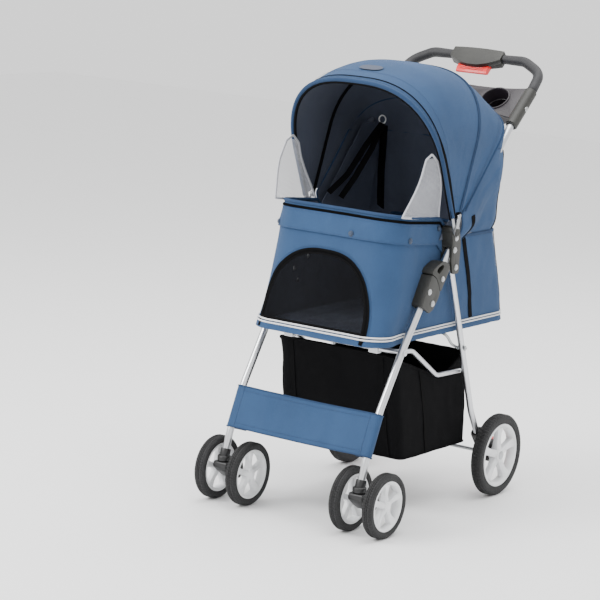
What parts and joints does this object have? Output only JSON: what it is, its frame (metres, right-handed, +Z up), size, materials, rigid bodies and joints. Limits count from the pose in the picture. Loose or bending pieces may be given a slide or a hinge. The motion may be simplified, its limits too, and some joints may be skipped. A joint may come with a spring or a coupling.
{
  "type": "pet stroller",
  "caption": "Folding pet stroller: fabric cabin with an arched canopy on a tubular frame, swivel casters in front, big wheels behind, cup tray and under-basket.",
  "frame": {"origin": "On the ground, under the middle of the bounding box", "axes": "+Z up, -Y towards the front casters, +X towards the stroller's left-hand side as it is pushed"},
  "size_m": [0.4652, 0.7168, 0.9934],
  "materials": {
    "tube_silver": "satin",
    "steel_pin": "satin",
    "dark_plastic": "textured",
    "black_plastic": "satin",
    "tray_plastic": "satin",
    "grip_foam": "soft",
    "red_plastic": "gloss",
    "tyre": "matte",
    "rim_plastic": "gloss",
    "blue_fabric": "woven",
    "black_fabric": "woven",
    "mesh_fabric": "open mesh",
    "white_plastic": "gloss"
  },
  "bodies": {
    "front_frame": {"front_panel": "blue_fabric", "basket": "black_fabric", "front_leg_left": "tube_silver", "caster_collar_left": "black_plastic", "hinge_housing_left": "dark_plastic", "hinge_pin_left": "steel_pin", "front_leg_right": "tube_silver", "caster_collar_right": "black_plastic", "hinge_housing_right": "dark_plastic", "hinge_pin_right": "steel_pin"},
    "handle": {"handle_tube": "tube_silver", "handle_block_upper": "dark_plastic", "handle_block_lower": "dark_plastic", "release_spring": "steel_pin", "cup_tray": "tray_plastic", "handle_grip_left": "grip_foam", "tray_clamp_left": "dark_plastic", "handle_grip_right": "grip_foam", "tray_clamp_right": "dark_plastic"},
    "release_button": {"release_button": "red_plastic"},
    "cabin": {"cabin_tub": "blue_fabric", "rear_hood": "blue_fabric", "cabin_bracket_left": "dark_plastic", "side_mesh_left": "mesh_fabric", "cabin_bracket_right": "dark_plastic", "side_mesh_right": "mesh_fabric"},
    "floor_board": {"floor_board": "black_fabric"},
    "canopy_middle": {"canopy_bow_middle": "steel_pin", "canopy_rear": "blue_fabric"},
    "canopy_front": {"canopy_bow_front": "steel_pin", "canopy_front": "blue_fabric"},
    "rear_frame": {"rear_axle": "steel_pin", "support_wire": "steel_pin", "rear_leg_left": "tube_silver", "axle_block_left": "black_plastic", "rear_leg_right": "tube_silver", "axle_block_right": "black_plastic"},
    "link_frame": {"link_frame": "tube_silver", "link_clip_left": "white_plastic", "link_clip_right": "white_plastic"},
    "hinge_latch_left": {"hinge_latch_left": "dark_plastic"},
    "caster_left": {"caster_fork_left": "black_plastic", "front_axle_left": "steel_pin"},
    "brake_pedal_left": {"brake_pedal_left": "red_plastic"},
    "rear_wheel_left": {"rear_left_tyre": "tyre", "rear_left_rim": "rim_plastic"},
    "front_wheel_left_inner": {"front_left_inner_tyre": "tyre", "front_left_inner_rim": "rim_plastic"},
    "front_wheel_left_outer": {"front_left_outer_tyre": "tyre", "front_left_outer_rim": "rim_plastic"},
    "hinge_latch_right": {"hinge_latch_right": "dark_plastic"},
    "caster_right": {"caster_fork_right": "black_plastic", "front_axle_right": "steel_pin"},
    "brake_pedal_right": {"brake_pedal_right": "red_plastic"},
    "rear_wheel_right": {"rear_right_tyre": "tyre", "rear_right_rim": "rim_plastic"},
    "front_wheel_right_inner": {"front_right_inner_tyre": "tyre", "front_right_inner_rim": "rim_plastic"},
    "front_wheel_right_outer": {"front_right_outer_tyre": "tyre", "front_right_outer_rim": "rim_plastic"}
  },
  "joints": [
    {"name": "frame_fold", "type": "hinge", "parent": "front_frame", "child": "handle", "pos_m": [0, -0.10416, 0.477], "axis": [1, 0, 0], "range_deg": [-140, 0], "deforming": ["cabin_tub", "rear_hood", "side_mesh_left", "side_mesh_right", "basket", "canopy_rear", "canopy_front"]},
    {"name": "cabin_tilt", "type": "hinge", "parent": "handle", "child": "cabin", "pos_m": [0, -0.02787, 0.58595], "axis": [1, 0, 0], "range_deg": [0, 26.8]},
    {"name": "rear_leg_fold", "type": "hinge", "parent": "cabin", "child": "rear_frame", "pos_m": [0, -0.01816, 0.547], "axis": [1, 0, 0], "range_deg": [0, 75.2]},
    {"name": "link_fold", "type": "hinge", "parent": "front_frame", "child": "link_frame", "pos_m": [0, -0.19316, 0.379], "axis": [1, 0, 0], "range_deg": [-75.2, 0]},
    {"name": "floor_lift", "type": "slide", "parent": "cabin", "child": "floor_board", "axis": [0, 0, 1], "range_m": [0, 0.158]},
    {"name": "canopy_open", "type": "hinge", "parent": "cabin", "child": "canopy_middle", "pos_m": [0, -0.03516, 0.626], "axis": [1, 0, 0], "range_deg": [-26, 0]},
    {"name": "visor_open", "type": "hinge", "parent": "canopy_middle", "child": "canopy_front", "pos_m": [0, -0.03516, 0.626], "axis": [1, 0, 0], "range_deg": [-31, 0]},
    {"name": "release_press", "type": "slide", "parent": "handle", "child": "release_button", "axis": [0, 0.7314, 0.682], "range_m": [0, 0.006], "stiffness_N_per_m": 900, "deforming": ["release_spring"]},
    {"name": "latch_slide_left", "type": "slide", "parent": "handle", "child": "hinge_latch_left", "axis": [0, 0.5736, 0.8192], "range_m": [0, 0.0065], "stiffness_N_per_m": 600},
    {"name": "caster_swivel_left", "type": "hinge", "parent": "front_frame", "child": "caster_left", "pos_m": [-0.178, -0.32116, 0.09], "axis": [0, 0, 1], "continuous": true},
    {"name": "front_wheel_spin_left_inner", "type": "hinge", "parent": "caster_left", "child": "front_wheel_left_inner", "pos_m": [-0.13585, -0.28816, 0.07025], "axis": [1, 0, 0], "continuous": true},
    {"name": "front_wheel_spin_left_outer", "type": "hinge", "parent": "caster_left", "child": "front_wheel_left_outer", "pos_m": [-0.22015, -0.28816, 0.07025], "axis": [1, 0, 0], "continuous": true},
    {"name": "rear_wheel_spin_left", "type": "hinge", "parent": "rear_frame", "child": "rear_wheel_left", "pos_m": [-0.1986, 0.20684, 0.0933], "axis": [1, 0, 0], "continuous": true},
    {"name": "brake_press_left", "type": "hinge", "parent": "rear_frame", "child": "brake_pedal_left", "pos_m": [-0.153, 0.22584, 0.11], "axis": [1, 0, 0], "range_deg": [-22, 0]},
    {"name": "latch_slide_right", "type": "slide", "parent": "handle", "child": "hinge_latch_right", "axis": [0, 0.5736, 0.8192], "range_m": [0, 0.0065], "stiffness_N_per_m": 600},
    {"name": "caster_swivel_right", "type": "hinge", "parent": "front_frame", "child": "caster_right", "pos_m": [0.178, -0.32116, 0.09], "axis": [0, 0, 1], "continuous": true},
    {"name": "front_wheel_spin_right_inner", "type": "hinge", "parent": "caster_right", "child": "front_wheel_right_inner", "pos_m": [0.13585, -0.28816, 0.07025], "axis": [1, 0, 0], "continuous": true},
    {"name": "front_wheel_spin_right_outer", "type": "hinge", "parent": "caster_right", "child": "front_wheel_right_outer", "pos_m": [0.22015, -0.28816, 0.07025], "axis": [1, 0, 0], "continuous": true},
    {"name": "rear_wheel_spin_right", "type": "hinge", "parent": "rear_frame", "child": "rear_wheel_right", "pos_m": [0.1986, 0.20684, 0.0933], "axis": [1, 0, 0], "continuous": true},
    {"name": "brake_press_right", "type": "hinge", "parent": "rear_frame", "child": "brake_pedal_right", "pos_m": [0.153, 0.22584, 0.11], "axis": [1, 0, 0], "range_deg": [-22, 0]}
  ],
  "couplings": [
    {"joint": "cabin_tilt", "follows": "frame_fold", "ratio": -0.18983},
    {"joint": "rear_leg_fold", "follows": "frame_fold", "ratio": -0.53559},
    {"joint": "link_fold", "follows": "frame_fold", "ratio": 0.53559},
    {"joint": "floor_lift", "follows": "frame_fold", "m_per_rad": -0.064094},
    {"joint": "visor_open", "follows": "canopy_open", "ratio": 1.1923}
  ]
}
